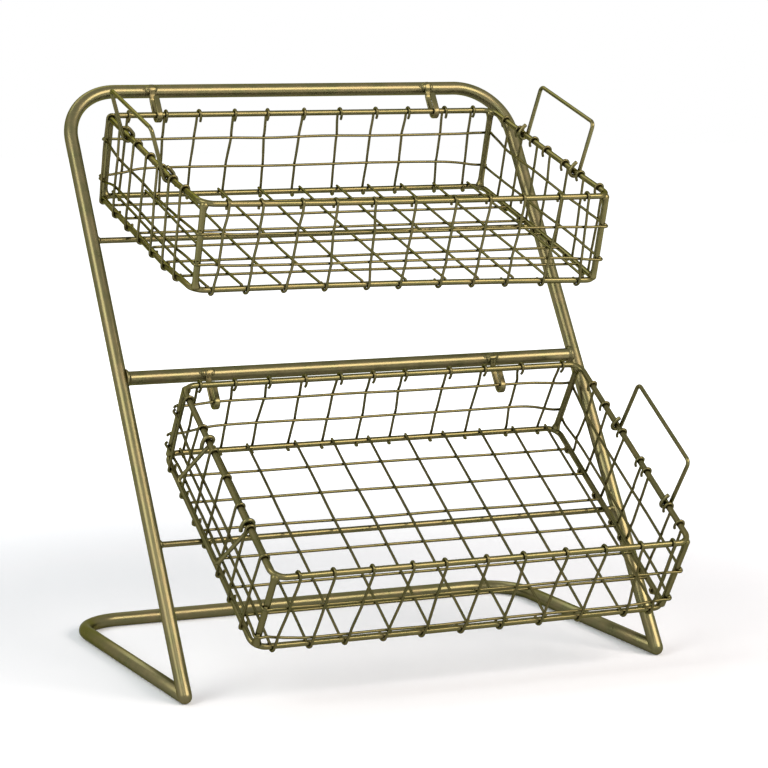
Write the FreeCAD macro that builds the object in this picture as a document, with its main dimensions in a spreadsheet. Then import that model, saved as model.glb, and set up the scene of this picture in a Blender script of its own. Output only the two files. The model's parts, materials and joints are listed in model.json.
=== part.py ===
"""Two-tier metal stand: a leaning tube hoop on a floor frame carries two wire mesh baskets.

Millimetres, +Z up, +X to the right. The baskets reach forward, towards -Y. The origin lies on the
floor, midway between the legs and midway between the foremost and the rearmost point of the stand.
"""
import FreeCAD, Part
import math
import os

Vector = FreeCAD.Vector
Rotation = FreeCAD.Rotation
Placement = FreeCAD.Placement

# Driving sizes, in millimetres and degrees
SIZES = (
    ("tube_diameter", 12.7, "half inch steel tube of the hoop, the floor frame and the crossbar"),
    ("leg_span", 453.0, "between the leg axes at the feet"),
    ("leg_lean", 33.4, "degrees that the hoop leans back from upright"),
    ("leg_toe_in", 0.35, "degrees that each leg leans inwards"),
    ("hoop_height", 486.7, "top bar axis above the floor frame axis"),
    ("hoop_corner_radius", 50.0, "bend of the hoop at its top corners"),
    ("crossbar_height", 245.4, "crossbar axis above the floor frame axis"),
    ("base_depth", 288.8, "feet to the axis of the rear floor tube"),
    ("base_corner_radius", 45.0, "bend of the floor frame at its rear corners"),
    ("cope_reach_share", 2.0, "run of a leg past its foot as it shapes the floor tube, in tube diameters"),
    ("origin_setback", 119.7, "feet to the middle of the whole depth"),
    ("rest_rod_diameter", 5.4, "rods that the baskets lean on"),
    ("hook_strap_width", 5.4, "flat strap of the four hooks"),
    ("hook_strap_thickness", 2.4, "flat strap of the four hooks"),
    ("hook_spread_share", 0.6203, "between the two hooks of a tier, as a share of leg_span"),
    ("upper_hook_shift_share", 0.0042, "share of leg_span that the upper hooks stand right of the middle"),
    ("lower_hook_shift_share", -0.0097, "the same for the lower hooks, which stand left of the middle"),
    ("hook_setoff", 2.0, "middle of the shank in front of the plane of the legs"),
    ("hook_bend_radius", 5.4, "middle of the strap in the hook's half turn"),
    ("upper_hook_drop", 29.8, "top bar axis down to the centre of the half turn"),
    ("lower_hook_drop", 30.6, "crossbar axis down to the centre of the half turn"),
    ("hook_lip", 17.6, "centre of the half turn up to the tip of the lip"),
    ("seat_angle", 10.0, "degrees below the lip where the load presses in the half turn"),
    ("basket_width_share", 0.86313, "between the axes of the side rails, as a share of leg_span"),
    ("basket_depth", 243.0, "between the axes of the front and rear rails"),
    ("basket_height", 77.5, "between the axes of the top and bottom rims"),
    ("upper_tilt", 15.5, "degrees that the upper basket tips forward"),
    ("lower_tilt", 31.8, "degrees that the lower basket tips forward"),
    ("upper_shift_share", 0.01766, "share of leg_span that the upper basket hangs right of the middle"),
    ("lower_shift_share", 0.0309, "share of leg_span that the lower basket hangs right of the middle"),
    ("rim_diameter", 5.2, "rod of the top and bottom rims"),
    ("rim_corner_radius", 8.0, "bend of the rims"),
    ("post_diameter", 5.2, "corner posts"),
    ("mesh_wire", 2.2, "wire of the mesh walls and floor"),
    ("curl_tail", 5.0, "end of an upright below the rim axis, inside the basket"),
    ("curl_drop", 5.7, "bottom rail axis down to the axis of the curl under it"),
    ("floor_wire_end", 1.3, "end of a floor wire past the axis of a rail"),
    ("hanging_wire_drop", 21.0, "top rim down to the wire that the lower basket hangs by"),
    ("handle_wire", 3.6, "wire of the bail handles"),
    ("handle_span_share", 0.4362, "between the eyes of a handle, as a share of basket_depth"),
    ("handle_reach", 48.0, "rim axis to handle bar"),
    ("handle_corner", 5.0, "bend of a handle"),
    ("handle_tail_run", 4.0, "eye tail towards the leg of the handle"),
    ("handle_tail_rise", 7.0, "eye tail along the leg of the handle"),
    ("contact_gap", 0.05, "between wires that touch"),
    ("running_gap", 0.3, "between pieces that part or turn"),
)

# Places of the mesh wires, as shares of the side that they stand on: left to right, or rear to front
FRONT_TOP_SHARES = {
    "upper": (0.059, 0.139, 0.234, 0.315, 0.407, 0.505, 0.605, 0.691, 0.777, 0.869, 0.941),
    "lower": (0.057, 0.136, 0.225, 0.318, 0.396, 0.494, 0.584, 0.687, 0.783, 0.873, 0.953),
}
FRONT_FOOT_SHARES = {
    "upper": (0.043, 0.125, 0.216, 0.313, 0.416, 0.494, 0.594, 0.677, 0.763, 0.856, 0.950),
    "lower": (0.043, 0.129, 0.211, 0.303, 0.394, 0.489, 0.584, 0.680, 0.777, 0.894, 0.959),
}
REAR_TOP_SHARES = {
    "upper": (0.052, 0.144, 0.226, 0.318, 0.402, 0.497, 0.589, 0.684, 0.771, 0.869, 0.948),
    "lower": (0.042, 0.126, 0.209, 0.295, 0.382, 0.465, 0.546, 0.659, 0.750, 0.846, 0.956),
}
REAR_FOOT_SHARES = {
    "upper": (0.049, 0.149, 0.221, 0.311, 0.409, 0.491, 0.596, 0.679, 0.766, 0.874, 0.951),
    "lower": (0.046, 0.137, 0.214, 0.303, 0.389, 0.476, 0.561, 0.668, 0.758, 0.866, 0.952),
}
LEFT_TOP_SHARES = {
    "upper": (0.033, 0.180, 0.336, 0.471, 0.590, 0.712, 0.831),
    "lower": (0.078, 0.233, 0.365, 0.497, 0.647, 0.757, 0.904),
}
LEFT_FOOT_SHARES = {
    "upper": (0.041, 0.188, 0.327, 0.462, 0.597, 0.723, 0.843),
    "lower": (0.086, 0.226, 0.371, 0.488, 0.639, 0.765, 0.896),
}
RIGHT_TOP_SHARES = {
    "upper": (0.128, 0.248, 0.378, 0.487, 0.637, 0.765, 0.915),
    "lower": (0.125, 0.246, 0.402, 0.558, 0.621, 0.813, 0.907),
}
RIGHT_FOOT_SHARES = {
    "upper": (0.121, 0.239, 0.378, 0.495, 0.628, 0.773, 0.906),
    "lower": (0.133, 0.254, 0.396, 0.549, 0.633, 0.804, 0.915),
}
# Places of the runners, the level mesh wires, as shares of the basket's height below the top rim
FRONT_RUNNER_SHARES = {"upper": (0.350, 0.720), "lower": (0.430, 0.836)}
REAR_RUNNER_SHARES = {"upper": (0.310, 0.670), "lower": (0.640,)}
LEFT_RUNNER_SHARES = {"upper": (0.341, 0.695), "lower": (0.433, 0.806)}
RIGHT_RUNNER_SHARES = {"upper": (0.356, 0.750), "lower": (0.424, 0.812)}
# Floor wires: the long ones cross from front to rear, the others from side to side
FLOOR_WIRE_SHARES = {
    "upper": (0.030, 0.112, 0.203, 0.297, 0.401, 0.508, 0.607, 0.690, 0.779, 0.868, 0.962),
    "lower": (0.034, 0.117, 0.197, 0.316, 0.409, 0.501, 0.597, 0.694, 0.791, 0.879, 0.967),
}
FLOOR_CROSS_SHARES = {
    "upper": (0.118, 0.259, 0.412, 0.556, 0.703, 0.862),
    "lower": (0.131, 0.274, 0.421, 0.569, 0.716, 0.851),
}
# Middle of each handle along its side rail, from the rear, as a share of the basket's depth
HANDLE_SHARES = {
    "upper": {"left": 0.449, "right": 0.501},
    "lower": {"left": 0.516, "right": 0.573},
}
# Degrees that each handle leans outwards as it stands in use
HANDLE_SWING = {
    "upper": {"left": 19.6, "right": 8.6},
    "lower": {"left": 151.0, "right": 3.1},
}
# Counts of flats and chords that round sections and bends are drawn with
TUBE_SIDES = 20
TUBE_CHORDS = 6
DOME_RINGS = 4
DOME_REACH = math.radians(75)
RIM_SIDES = 12
POST_SIDES = 8
WIRE_SIDES = 6
HANDLE_SIDES = 8
HOOK_CHORDS = 6
ROD_SIDES = 12
RIM_CHORDS = 3
HANDLE_CHORDS = 2
EIGHTH_TURN = math.pi / 8

doc = FreeCAD.newDocument("two_tier_stand")
sheet = doc.addObject("Spreadsheet::Sheet", "sizes")
for row, (alias, value, note) in enumerate(SIZES, 1):
    sheet.set(f"A{row}", note)
    sheet.set(f"B{row}", str(value))
    sheet.setAlias(f"B{row}", alias)
doc.recompute()

nodes = []


def size(alias):
    """The number that a named cell of the sheet holds."""
    return float(sheet.get(alias))


def keep(feature, label):
    """Names a finished sub-part, which then is one of the stand's pieces."""
    feature.Label = label
    nodes.append(feature)
    return feature


# Directions of the leaning hoop, and places on it
lean = math.radians(size("leg_lean"))
up_leg = Vector(0, math.sin(lean), math.cos(lean))
leg_front = Vector(0, -math.cos(lean), math.sin(lean))
flat_below = size("tube_diameter") / 2 * math.cos(math.pi / TUBE_SIDES)
foot_level = Vector(0, -size("origin_setback"), flat_below)


def on_hoop(height):
    """The point in the middle of the hoop's plane, at a height above the floor frame's axis."""
    return foot_level + up_leg * (height / math.cos(lean))


def leg_axis(side):
    """A point on a leg's axis at the foot, and the direction of the leg."""
    toe = math.radians(size("leg_toe_in"))
    foot = foot_level + Vector(side * size("leg_span") / 2, 0, 0)
    return foot, up_leg * math.cos(toe) - Vector(side * math.sin(toe), 0, 0)


# Bent tube, rod and wire
def across_wire(along, aside, sides):
    """Turns a regular section square to a wire, with one flat towards aside."""
    normal = (aside - along * aside.dot(along)).normalize()
    half_step = math.pi / sides
    first = normal * math.cos(half_step) + along.cross(normal) * math.sin(half_step)
    return Rotation(first, along.cross(first), along, "ZXY")


def section_at(name, point, along, diameter, sides, aside, narrowing="1"):
    """A regular section whose size follows the sheet."""
    section = doc.addObject("Part::RegularPolygon", name)
    section.Polygon = sides
    section.setExpression("Circumradius", f"sizes.{diameter} / 2 * {narrowing}")
    section.Placement = Placement(point, across_wire(along, aside, sides))
    return section


def swept(name, section, points, closed=False):
    """A section carried along a chain of straight runs, mitred where they meet."""
    path = doc.addObject("Part::Polygon", f"{name}_path")
    path.Nodes = points
    path.Close = closed
    sweep = doc.addObject("Part::Sweep", f"{name}_sweep")
    sweep.Sections = [section]
    sweep.Spine = (path, [])
    sweep.Solid = True
    sweep.Frenet = False
    sweep.Transition = "Right corner"
    return sweep


def bent_wire(name, points, diameter, sides, aside, closed=False):
    """A wire of regular section along a chain of straight runs."""
    along = (points[1] - points[0]).normalize()
    section = section_at(f"{name}_section", points[0], along, diameter, sides, aside)
    return swept(name, section, points, closed)


def bent_strap(name, points):
    """A flat strap along a chain of straight runs in a plane square to X, with its width along X."""
    width = size("hook_strap_width") / 2
    thickness = size("hook_strap_thickness") / 2
    along = (points[1] - points[0]).normalize()
    section = doc.addObject("Part::Polygon", f"{name}_section")
    section.Nodes = [Vector(-width, -thickness, 0), Vector(width, -thickness, 0),
                     Vector(width, thickness, 0), Vector(-width, thickness, 0)]
    section.Close = True
    level = Vector(1, 0, 0)
    section.Placement = Placement(points[0], Rotation(level, along.cross(level), along, "ZXY"))
    return swept(name, section, points)


def rounded(points, radius, chords):
    """The same chain of points with each inner corner replaced by the chords of an arc."""
    path = [points[0]]
    for before, corner, after in zip(points, points[1:], points[2:]):
        arrive = (corner - before).normalize()
        leave = (after - corner).normalize()
        turn = arrive.getAngle(leave)
        trim = radius * math.tan(turn / 2)
        inward = arrive.cross(leave).normalize().cross(arrive)
        centre = corner - arrive * trim + inward * radius
        for chord in range(chords + 1):
            angle = turn * chord / chords
            path.append(centre - inward * (radius * math.cos(angle)) + arrive * (radius * math.sin(angle)))
    return path + [points[-1]]


# The stand
def make_dome(name, foot, leg):
    """The rounded end of a leg, in rings that narrow."""
    rings = []
    for i in range(DOME_RINGS):
        angle = DOME_REACH * i / (DOME_RINGS - 1)
        point = foot - leg * (size("tube_diameter") / 2 * math.sin(angle))
        rings.append(section_at(f"{name}_{i + 1}", point, leg, "tube_diameter", TUBE_SIDES, leg_front,
                                f"cos({math.degrees(angle)} deg)"))
    dome = doc.addObject("Part::Loft", name)
    dome.Sections = rings
    dome.Solid = True
    dome.Ruled = True
    return dome


def make_hoop():
    """Both legs and the top bar are one bent tube, with a domed end at each foot."""
    left_foot, left_leg = leg_axis(-1)
    right_foot, right_leg = leg_axis(1)
    length = size("hoop_height") / left_leg.z
    points = [left_foot, left_foot + left_leg * length, right_foot + right_leg * length, right_foot]
    path = rounded(points, size("hoop_corner_radius"), TUBE_CHORDS)
    tube = bent_wire("hoop_tube", path, "tube_diameter", TUBE_SIDES, leg_front)
    hoop = doc.addObject("Part::MultiFuse", "hoop")
    hoop.Shapes = [tube, make_dome("left_foot_end", left_foot, left_leg),
                   make_dome("right_foot_end", right_foot, right_leg)]
    return keep(hoop, "leg_hoop")


def make_cope(name, foot, leg):
    """A leg run on past its foot, which shapes the end of the floor tube."""
    overrun = leg * (size("tube_diameter") * size("cope_reach_share"))
    return bent_wire(name, [foot - overrun, foot + overrun], "tube_diameter", TUBE_SIDES, leg_front)


def make_floor_base():
    """The floor frame is a bent tube, open at the front, coped against the two legs."""
    left_foot, left_leg = leg_axis(-1)
    right_foot, right_leg = leg_axis(1)
    back = Vector(0, size("base_depth"), 0)
    points = [left_foot, left_foot + back, right_foot + back, right_foot]
    path = rounded(points, size("base_corner_radius"), TUBE_CHORDS)
    copes = doc.addObject("Part::MultiFuse", "copes")
    copes.Shapes = [make_cope("left_cope", left_foot, left_leg),
                    make_cope("right_cope", right_foot, right_leg)]
    base = doc.addObject("Part::Cut", "floor_frame")
    base.Base = bent_wire("floor_tube", path, "tube_diameter", TUBE_SIDES, Vector(0, 0, 1))
    base.Tool = copes
    return keep(base, "floor_base")


def make_cross_member(label, diameter, sides, height, hoop):
    """A straight bar between the legs, coped against both of them."""
    across = Vector(size("leg_span") / 2, 0, 0)
    ends = [on_hoop(height) - across, on_hoop(height) + across]
    whole = doc.addObject("Part::Cut", f"{label}_cut")
    whole.Base = bent_wire(f"{label}_bar", ends, diameter, sides, leg_front)
    whole.Tool = hoop
    reach = size("leg_span") - size("tube_diameter") / 2
    between = doc.addObject("Part::Box", f"{label}_reach")
    between.Length = reach
    between.setExpression("Width", "sizes.tube_diameter * 2")
    between.setExpression("Height", "sizes.tube_diameter * 2")
    corner = Vector(reach / 2, size("tube_diameter"), size("tube_diameter"))
    between.Placement = Placement(on_hoop(height) - corner, Rotation())
    member = doc.addObject("Part::Common", f"{label}_fit")
    member.Base = whole
    member.Tool = between
    return keep(member, label)


def hook_spread():
    """The hooks keep their place on the legs' span, and so between the same uprights."""
    return size("leg_span") * size("hook_spread_share")


def make_hook(tier, name, side, height, tube):
    """The shank hangs under a tube, turns forward and up in a half turn, and ends in a lip."""
    label = f"{tier}_{name}_hook"
    radius = size("hook_bend_radius")
    across = side * hook_spread() / 2 + size("leg_span") * size(f"{tier}_hook_shift_share")
    shank = on_hoop(height) + leg_front * size("hook_setoff") + Vector(across, 0, 0)
    centre = shank + leg_front * radius - up_leg * size(f"{tier}_hook_drop")
    points = [shank]
    for chord in range(HOOK_CHORDS + 1):
        angle = math.pi * chord / HOOK_CHORDS
        points.append(centre - leg_front * (radius * math.cos(angle)) - up_leg * (radius * math.sin(angle)))
    points.append(centre + leg_front * radius + up_leg * size("hook_lip"))
    hook = doc.addObject("Part::Cut", f"{label}_cut")
    hook.Base = bent_strap(label, points)
    hook.Tool = tube
    return keep(hook, label)


# Baskets: each is drawn level, from the middle of its rear top rail, and then tipped and hung
def basket_width():
    """The baskets fill the same share of the span between the legs."""
    return size("leg_span") * size("basket_width_share")


def basket_directions(tier):
    tilt = math.radians(size(f"{tier}_tilt"))
    back = Vector(0, math.cos(tilt), math.sin(tilt))
    up = Vector(0, -math.sin(tilt), math.cos(tilt))
    return back, up


def hook_seat(tier, diameter):
    """Where a wire of this diameter lies in the half turn of a tier's hooks."""
    height = size("hoop_height") if tier == "upper" else size("crossbar_height")
    centre = (on_hoop(height) - up_leg * size(f"{tier}_hook_drop")
              + leg_front * (size("hook_setoff") + size("hook_bend_radius")))
    angle = math.radians(size("seat_angle"))
    inner = size("hook_bend_radius") - size("hook_strap_thickness") / 2
    play = inner - diameter / 2 - size("running_gap")
    return centre + leg_front * (play * math.cos(angle)) - up_leg * (play * math.sin(angle))


def runner_offset():
    """Runners lie on the inner side of the uprights, which pass outside the rims."""
    return wrap_radius() - size("mesh_wire") - size("contact_gap")


def wrap_radius():
    """Rim axis to the axis of a mesh wire that wraps it."""
    return (size("rim_diameter") + size("mesh_wire")) / 2 + size("contact_gap")


def basket_placement(tier):
    """The upper basket hangs by its rear rim, the lower one by the first wire of its rear wall."""
    back, up = basket_directions(tier)
    if tier == "upper":
        place = hook_seat(tier, size("rim_diameter"))
    else:
        place = (hook_seat(tier, size("mesh_wire")) + up * size("hanging_wire_drop")
                 - back * runner_offset())
    place = place + Vector(size("leg_span") * size(f"{tier}_shift_share"), 0, 0)
    return Placement(place, Rotation(Vector(1, 0, 0), size(f"{tier}_tilt")))


def rest_rod_height(tier):
    """The rod's axis, which carries the underside of the tipped basket: curls above, rails below."""
    up = basket_directions(tier)[1]
    underside = size("rim_diameter") / 2
    if tier == "upper":
        underside = size("curl_drop") + size("mesh_wire") / 2
    below = size("basket_height") + underside + size("running_gap") + size("rest_rod_diameter") / 2
    rim = basket_placement(tier).Base - foot_level
    return (rim.dot(up) - below) / up_leg.dot(up) * math.cos(lean)


def rim_path(height):
    """The rounded rectangle of a rim's axis, from the middle of the rear rail."""
    half = basket_width() / 2
    depth = size("basket_depth")
    middle = Vector(0, 0, height)
    corners = [middle, Vector(-half, 0, height), Vector(-half, -depth, height),
               Vector(half, -depth, height), Vector(half, 0, height), middle]
    return rounded(corners, size("rim_corner_radius"), RIM_CHORDS)[:-1]


def walls():
    """Each wall's start on the rim's axis, its direction, its outward direction and its length."""
    half = basket_width() / 2
    width = basket_width()
    depth = size("basket_depth")
    return {
        "front": (Vector(-half, -depth, 0), Vector(1, 0, 0), Vector(0, -1, 0), width),
        "rear": (Vector(-half, 0, 0), Vector(1, 0, 0), Vector(0, 1, 0), width),
        "left": (Vector(-half, 0, 0), Vector(0, -1, 0), Vector(-1, 0, 0), depth),
        "right": (Vector(half, 0, 0), Vector(0, -1, 0), Vector(1, 0, 0), depth),
    }


def upright(name, wall, top_share, foot_share):
    """A mesh wire that wraps over the top rim, passes outside both rims and curls under the lower."""
    start, along, out, length = wall
    wrap = wrap_radius()
    side = wrap * math.tan(EIGHTH_TURN)
    foot = -size("basket_height")
    drop = size("curl_drop")
    over = ((-wrap, -size("curl_tail")), (-wrap, side), (-side, wrap), (side, wrap), (wrap, side))
    under = ((wrap, wrap - side - drop), (side, -drop), (-wrap, side - drop))
    top = start + along * (length * top_share)
    bottom = start + along * (length * foot_share) + Vector(0, 0, foot)
    points = [top + out * x + Vector(0, 0, z) for x, z in over]
    points += [bottom + out * x + Vector(0, 0, z) for x, z in under]
    return bent_wire(name, points, "mesh_wire", WIRE_SIDES, along)


def runner(name, wall, below):
    """A level mesh wire from corner post to corner post."""
    start, along, out, length = wall
    inset = post_inset()
    level = start + out * runner_offset() - Vector(0, 0, below)
    points = [level + along * inset, level + along * (length - inset)]
    return bent_wire(name, points, "mesh_wire", WIRE_SIDES, out)


def post_inset():
    """The posts stand inside the runners."""
    return size("post_diameter") / 2 + size("mesh_wire") / 2 + size("contact_gap") - runner_offset()


def wire_node(label, wires, placement):
    """One sub-part made of one wire, or of several separate wires."""
    group = doc.addObject("Part::Compound", f"{label}_group")
    group.Links = wires
    group.Placement = placement
    return keep(group, label)


def make_rims(tier, placement):
    """Closed rods at the top and the foot of the basket, and the four posts welded between them."""
    flat = size("rim_diameter") / 2 * math.cos(math.pi / RIM_SIDES)
    for name, height in (("top_rim", 0), ("bottom_rim", -size("basket_height"))):
        label = f"{tier}_basket_{name}"
        rim = bent_wire(label, rim_path(height), "rim_diameter", RIM_SIDES, Vector(0, 0, 1), closed=True)
        wire_node(label, [rim], placement)
    half = basket_width() / 2 - post_inset()
    for name, x, y in (("front_left", -half, post_inset() - size("basket_depth")),
                       ("front_right", half, post_inset() - size("basket_depth")),
                       ("rear_left", -half, -post_inset()),
                       ("rear_right", half, -post_inset())):
        label = f"{tier}_basket_{name}_post"
        points = [Vector(x, y, -flat), Vector(x, y, flat - size("basket_height"))]
        post = bent_wire(label, points, "post_diameter", POST_SIDES, Vector(1, 0, 0))
        wire_node(label, [post], placement)


def make_wall_meshes(tier, placement):
    """The upright wires of each wall, and the runners behind them."""
    height = size("basket_height")
    rear_runners = [height * share for share in REAR_RUNNER_SHARES[tier]]
    if tier == "lower":
        rear_runners.insert(0, size("hanging_wire_drop"))
    plans = {
        "front": (FRONT_TOP_SHARES, FRONT_FOOT_SHARES,
                  [height * share for share in FRONT_RUNNER_SHARES[tier]]),
        "rear": (REAR_TOP_SHARES, REAR_FOOT_SHARES, rear_runners),
        "left": (LEFT_TOP_SHARES, LEFT_FOOT_SHARES,
                 [height * share for share in LEFT_RUNNER_SHARES[tier]]),
        "right": (RIGHT_TOP_SHARES, RIGHT_FOOT_SHARES,
                  [height * share for share in RIGHT_RUNNER_SHARES[tier]]),
    }
    for name, wall in walls().items():
        tops, feet, runners = plans[name]
        label = f"{tier}_basket_{name}_mesh"
        wires = [upright(f"{label}_upright_{i}", wall, top, foot)
                 for i, (top, foot) in enumerate(zip(tops[tier], feet[tier]), 1)]
        wires += [runner(f"{label}_runner_{i}", wall, below) for i, below in enumerate(runners, 1)]
        wire_node(label, wires, placement)


def make_floor_mesh(tier, placement):
    """Long wires lie on the front and rear rails, and cross wires run under them between the rails."""
    half = basket_width() / 2
    depth = size("basket_depth")
    gap = size("contact_gap")
    level = wrap_radius() - size("basket_height")
    under = level - size("mesh_wire") - gap
    over = size("floor_wire_end")
    short = size("rim_diameter") / 2 + gap
    label = f"{tier}_basket_floor_mesh"
    wires = []
    for i, share in enumerate(FLOOR_WIRE_SHARES[tier], 1):
        x = basket_width() * share - half
        points = [Vector(x, over, level), Vector(x, -depth - over, level)]
        wires.append(bent_wire(f"{label}_long_{i}", points, "mesh_wire", WIRE_SIDES, Vector(1, 0, 0)))
    for i, share in enumerate(FLOOR_CROSS_SHARES[tier], 1):
        points = [Vector(short - half, -depth * share, under), Vector(half - short, -depth * share, under)]
        wires.append(bent_wire(f"{label}_cross_{i}", points, "mesh_wire", WIRE_SIDES, Vector(0, 1, 0)))
    wire_node(label, wires, placement)


def make_handle(tier, name, side, basket):
    """A bail of bent wire whose two eyes turn about a side rail of the top rim."""
    clear = (size("rim_diameter") + size("handle_wire")) / 2 + size("running_gap")
    flank = clear * math.tan(EIGHTH_TURN)
    reach = size("handle_reach")
    half = size("basket_depth") * size("handle_span_share") / 2
    eye = ((size("handle_tail_run") - clear, flank + size("handle_tail_rise")), (-clear, flank),
           (-clear, -flank), (-flank, -clear), (flank, -clear), (clear, -flank))
    bail = [Vector(clear, half, -flank), Vector(clear, half, reach),
            Vector(clear, -half, reach), Vector(clear, -half, -flank)]
    points = [Vector(x, half, z) for x, z in eye[:-1]]
    points += rounded(bail, size("handle_corner"), HANDLE_CHORDS)
    points += [Vector(x, -half, z) for x, z in reversed(eye[:-1])]
    points = [Vector(side * point.x, point.y, point.z) for point in points]
    label = f"{tier}_{name}_handle"
    handle = bent_wire(label, points, "handle_wire", HANDLE_SIDES, Vector(0, 1, 0))
    on_rail = Vector(side * basket_width() / 2, -size("basket_depth") * HANDLE_SHARES[tier][name], 0)
    swing = Rotation(Vector(0, 1, 0), side * HANDLE_SWING[tier][name])
    wire_node(label, [handle], basket.multiply(Placement(on_rail, swing)))


def make_basket(tier):
    placement = basket_placement(tier)
    make_rims(tier, placement)
    make_wall_meshes(tier, placement)
    make_floor_mesh(tier, placement)
    make_handle(tier, "left", -1, placement)
    make_handle(tier, "right", 1, placement)


# The whole stand
leg_hoop = make_hoop()
make_floor_base()
crossbar = make_cross_member("crossbar", "tube_diameter", TUBE_SIDES, size("crossbar_height"), leg_hoop)
for tier, height, tube in (("upper", size("hoop_height"), leg_hoop),
                           ("lower", size("crossbar_height"), crossbar)):
    make_cross_member(f"{tier}_rest_rod", "rest_rod_diameter", ROD_SIDES, rest_rod_height(tier), leg_hoop)
    make_hook(tier, "left", -1, height, tube)
    make_hook(tier, "right", 1, height, tube)
    make_basket(tier)

doc.recompute()
for obj in doc.Objects:
    if "Invalid" in obj.State or "Error" in obj.State:
        raise RuntimeError(f"{obj.Label} failed: {obj.State}")
for node in nodes:
    if node.Shape.isNull() or not node.Shape.isValid():
        raise RuntimeError(f"{node.Label} has no valid shape")
    if any(solid.Volume <= 0 for solid in node.Shape.Solids) or not node.Shape.Solids:
        raise RuntimeError(f"{node.Label} has no solid")

os.makedirs("parts", exist_ok=True)
for node in nodes:
    node.Shape.exportStep(f"parts/{node.Label}.step")

front = min(node.Shape.BoundBox.YMin for node in nodes)
rear = max(node.Shape.BoundBox.YMax for node in nodes)
print(f"{len(nodes)} sub-parts, depth from {front:.2f} to {rear:.2f}")
for tier in ("upper", "lower"):
    print(f"{tier} rest rod axis {rest_rod_height(tier):.1f} above the floor frame's axis")
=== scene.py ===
"""Looks of the two-tier stand: round tube and wire, bends, wraps, welds and metallic paint.

Metres, +Z up, +X to the right, -Y towards the front, in the same frame as the construction.
"""
import json
import math
import random

import bpy
import numpy as np
from mathutils import Matrix, Vector


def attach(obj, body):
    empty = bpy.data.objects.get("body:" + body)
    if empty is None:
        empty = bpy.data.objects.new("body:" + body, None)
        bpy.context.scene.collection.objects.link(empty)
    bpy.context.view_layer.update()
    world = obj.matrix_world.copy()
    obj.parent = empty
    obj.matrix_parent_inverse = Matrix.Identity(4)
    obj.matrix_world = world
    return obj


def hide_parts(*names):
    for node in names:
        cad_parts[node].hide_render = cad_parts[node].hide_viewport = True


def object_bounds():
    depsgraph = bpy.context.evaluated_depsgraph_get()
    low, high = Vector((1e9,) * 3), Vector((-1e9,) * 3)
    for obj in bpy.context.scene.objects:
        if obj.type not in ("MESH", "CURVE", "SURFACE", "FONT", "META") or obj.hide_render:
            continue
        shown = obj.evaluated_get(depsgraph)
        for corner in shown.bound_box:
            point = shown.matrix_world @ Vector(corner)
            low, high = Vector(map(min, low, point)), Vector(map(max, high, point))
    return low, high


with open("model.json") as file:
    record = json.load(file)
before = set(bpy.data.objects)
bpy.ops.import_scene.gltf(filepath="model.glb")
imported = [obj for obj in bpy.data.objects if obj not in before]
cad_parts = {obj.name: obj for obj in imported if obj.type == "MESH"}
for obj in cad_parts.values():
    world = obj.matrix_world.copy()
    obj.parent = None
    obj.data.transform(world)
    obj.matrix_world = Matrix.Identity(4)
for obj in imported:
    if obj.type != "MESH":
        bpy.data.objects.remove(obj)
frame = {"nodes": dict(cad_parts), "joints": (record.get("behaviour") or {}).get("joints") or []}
cad_low, cad_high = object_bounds()

MM = 0.001
ACROSS = Vector((1, 0, 0))
nodes = frame["nodes"]
joints = {joint["name"]: joint for joint in frame["joints"]}

# Sizes of the stand
LEG_SPAN = 453.0 * MM
LEG_LEAN = math.radians(33.4)
LEG_TOE_IN = math.radians(0.35)
HOOP_HEIGHT = 486.7 * MM
HOOP_CORNER = 50.0 * MM
CROSSBAR_HEIGHT = 245.4 * MM
ROD_HEIGHTS = {"upper": 359.1 * MM, "lower": 114.2 * MM}
BASE_DEPTH = 288.8 * MM
BASE_CORNER = 45.0 * MM
SETBACK = 119.7 * MM
TUBE_RADIUS = (cad_high.x - cad_low.x - LEG_SPAN) / 2
ROD_RADIUS = 2.65 * MM

# The welds that flare out where a bar meets the legs, and how deep its ends run into them
TUBE_FLARE = 2.0 * MM
ROD_FLARE = 1.6 * MM
FLARE_LENGTH_SHARE = 1.6
FLARE_ROOT_SHARE = 1.1
FLARE_POWER = 1.5
BAR_SINK = 1.5 * MM

# The J hooks of flat strap, whose rounded tips are this share of the edge's radius long
STRAP_WIDTH = 5.4 * MM
STRAP_THICKNESS = 2.4 * MM
STRAP_EDGE = 0.9 * MM
STRAP_TIP_SHARE = 1.6
STRAP_SINK = 0.35 * MM
HOOK_HEIGHTS = {"upper": HOOP_HEIGHT, "lower": CROSSBAR_HEIGHT}
HOOK_SPREAD = 281.0 * MM
HOOK_SHIFT = {"upper": 1.9 * MM, "lower": -4.4 * MM}
HOOK_SETOFF = 2.0 * MM
HOOK_BEND = 5.4 * MM
HOOK_DROP = {"upper": 29.8 * MM, "lower": 30.6 * MM}
HOOK_LIP = 17.6 * MM
# Where the strap lies on the tube, in degrees up from the tube's front
HOOK_GRIP = (14, 2, -10, -22, -34, -46)
# Where the strap leaves the tube: in front of its straight part, and above the tube's axis
HOOK_LEAVES = ((1.5 * MM, -7.9 * MM), (0.4 * MM, -10.2 * MM), (0.0, -13.0 * MM))
# Lumps of a hook's weld: millimetres across, degrees up, half width, half height and depth in millimetres
HOOK_WELD = (
    (0.0, -10, 6.0, 3.9, 2.3),
    (-3.9, -14, 2.4, 3.3, 1.9),
    (3.8, -12, 2.2, 3.1, 1.8),
    (-7.2, -8, 1.4, 1.2, 0.9),
)
# How deep the lumps sit in the tube, and how many degrees they stray round it
HOOK_WELD_SINK = 0.1 * MM
HOOK_WELD_TURN = 5

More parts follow.
